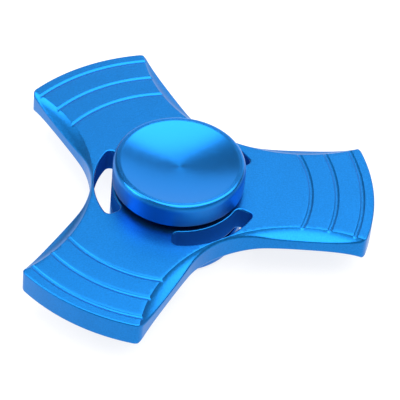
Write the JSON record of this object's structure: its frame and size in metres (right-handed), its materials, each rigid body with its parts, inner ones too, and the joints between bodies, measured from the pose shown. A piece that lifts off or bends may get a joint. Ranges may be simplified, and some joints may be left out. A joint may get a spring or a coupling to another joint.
{
  "type": "fidget spinner",
  "caption": "Flat three-armed hand spinner with flared grooved arms, curved waist slots and dished thumb caps on a shielded ball bearing.",
  "frame": {"origin": "centre of the bearing, on the spinning axis at the body's mid-plane", "axes": "+Z along the spinning axis towards the upper cap, +X along one arm"},
  "size_m": [0.0649, 0.0724, 0.0172],
  "materials": {
    "body_anodised": "bead-blasted, blue anodised satin",
    "cap_anodised": "fine-turned, blue anodised, semi-gloss",
    "bearing_steel": "ground and polished bearing steel",
    "pressed_steel": "pressed stainless sheet"
  },
  "bodies": {
    "caps": {"cap_top": "cap_anodised", "cap_bottom": "cap_anodised", "cap_stud": "bearing_steel", "bearing_inner_ring": "bearing_steel"},
    "rotor": {"spinner_body": "body_anodised", "bearing_outer_ring": "bearing_steel", "shield_upper": "pressed_steel", "shield_lower": "pressed_steel", "shield_ring_upper": "bearing_steel", "shield_ring_lower": "bearing_steel"},
    "cage": {"ball_cage": "pressed_steel"},
    "ball_01": {"ball_01": "bearing_steel"},
    "ball_02": {"ball_02": "bearing_steel"},
    "ball_03": {"ball_03": "bearing_steel"},
    "ball_04": {"ball_04": "bearing_steel"},
    "ball_05": {"ball_05": "bearing_steel"},
    "ball_06": {"ball_06": "bearing_steel"},
    "ball_07": {"ball_07": "bearing_steel"},
    "ball_08": {"ball_08": "bearing_steel"},
    "ball_09": {"ball_09": "bearing_steel"},
    "ball_10": {"ball_10": "bearing_steel"}
  },
  "joints": [
    {"name": "spin", "type": "hinge", "parent": "caps", "child": "rotor", "pos_m": [0, 0, 0], "axis": [0, 0, 1], "continuous": true},
    {"name": "cage_orbit", "type": "hinge", "parent": "caps", "child": "cage", "pos_m": [0, 0, 0], "axis": [0, 0, 1], "continuous": true},
    {"name": "ball_01_roll", "type": "hinge", "parent": "cage", "child": "ball_01", "pos_m": [0.00453, 0.00147, 0], "axis": [0, 0, 1], "continuous": true},
    {"name": "ball_02_roll", "type": "hinge", "parent": "cage", "child": "ball_02", "pos_m": [0.0028, 0.00385, 0], "axis": [0, 0, 1], "continuous": true},
    {"name": "ball_03_roll", "type": "hinge", "parent": "cage", "child": "ball_03", "pos_m": [0, 0.00476, 0], "axis": [0, 0, 1], "continuous": true},
    {"name": "ball_04_roll", "type": "hinge", "parent": "cage", "child": "ball_04", "pos_m": [-0.0028, 0.00385, 0], "axis": [0, 0, 1], "continuous": true},
    {"name": "ball_05_roll", "type": "hinge", "parent": "cage", "child": "ball_05", "pos_m": [-0.00453, 0.00147, 0], "axis": [0, 0, 1], "continuous": true},
    {"name": "ball_06_roll", "type": "hinge", "parent": "cage", "child": "ball_06", "pos_m": [-0.00453, -0.00147, 0], "axis": [0, 0, 1], "continuous": true},
    {"name": "ball_07_roll", "type": "hinge", "parent": "cage", "child": "ball_07", "pos_m": [-0.0028, -0.00385, 0], "axis": [0, 0, 1], "continuous": true},
    {"name": "ball_08_roll", "type": "hinge", "parent": "cage", "child": "ball_08", "pos_m": [0, -0.00476, 0], "axis": [0, 0, 1], "continuous": true},
    {"name": "ball_09_roll", "type": "hinge", "parent": "cage", "child": "ball_09", "pos_m": [0.0028, -0.00385, 0], "axis": [0, 0, 1], "continuous": true},
    {"name": "ball_10_roll", "type": "hinge", "parent": "cage", "child": "ball_10", "pos_m": [0.00453, -0.00147, 0], "axis": [0, 0, 1], "continuous": true}
  ],
  "couplings": [
    {"joint": "cage_orbit", "follows": "spin", "ratio": 0.60499},
    {"joint": "ball_01_roll", "follows": "spin", "ratio": 2.2763},
    {"joint": "ball_02_roll", "follows": "spin", "ratio": 2.2763},
    {"joint": "ball_03_roll", "follows": "spin", "ratio": 2.2763},
    {"joint": "ball_04_roll", "follows": "spin", "ratio": 2.2763},
    {"joint": "ball_05_roll", "follows": "spin", "ratio": 2.2763},
    {"joint": "ball_06_roll", "follows": "spin", "ratio": 2.2763},
    {"joint": "ball_07_roll", "follows": "spin", "ratio": 2.2763},
    {"joint": "ball_08_roll", "follows": "spin", "ratio": 2.2763},
    {"joint": "ball_09_roll", "follows": "spin", "ratio": 2.2763},
    {"joint": "ball_10_roll", "follows": "spin", "ratio": 2.2763}
  ]
}
